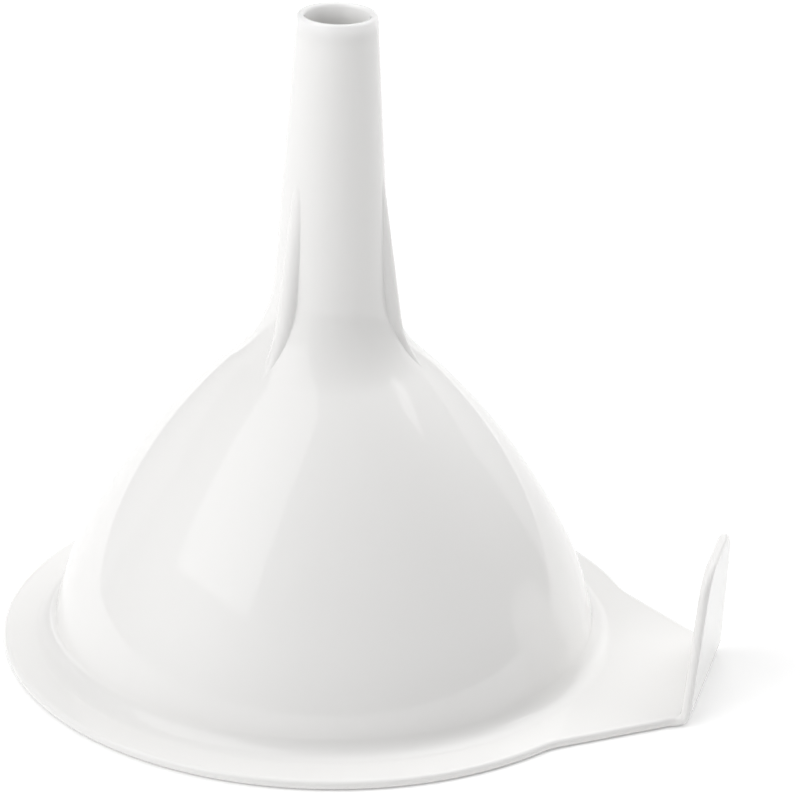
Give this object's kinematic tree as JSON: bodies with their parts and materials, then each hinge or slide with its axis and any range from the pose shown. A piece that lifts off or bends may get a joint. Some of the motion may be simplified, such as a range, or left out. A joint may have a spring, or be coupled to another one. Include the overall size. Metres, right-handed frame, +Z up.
{
  "type": "funnel",
  "caption": "One-piece moulded pouring funnel with a domed bowl, tapered spout, round vent ribs and a flat mouth flange with a hooked hang tab.",
  "frame": {"origin": "centre of the mouth, on the flat underside of the mouth flange", "axes": "+Z runs up the spout's axis to the outlet; +X points along the hang tab"},
  "size_m": [0.1344, 0.12, 0.1213],
  "materials": {
    "white_plastic": "gloss"
  },
  "bodies": {
    "root": {"mouth_flange": "white_plastic", "mouth_fillet": "white_plastic", "bowl_skirt": "white_plastic", "bowl_crown": "white_plastic", "shoulder": "white_plastic", "spout_tube": "white_plastic", "spout_tip": "white_plastic", "vent_rib_1": "white_plastic", "vent_rib_2": "white_plastic", "vent_rib_3": "white_plastic", "hang_tab": "white_plastic", "tab_bend": "white_plastic", "hook_lip": "white_plastic"}
  },
  "joints": []
}
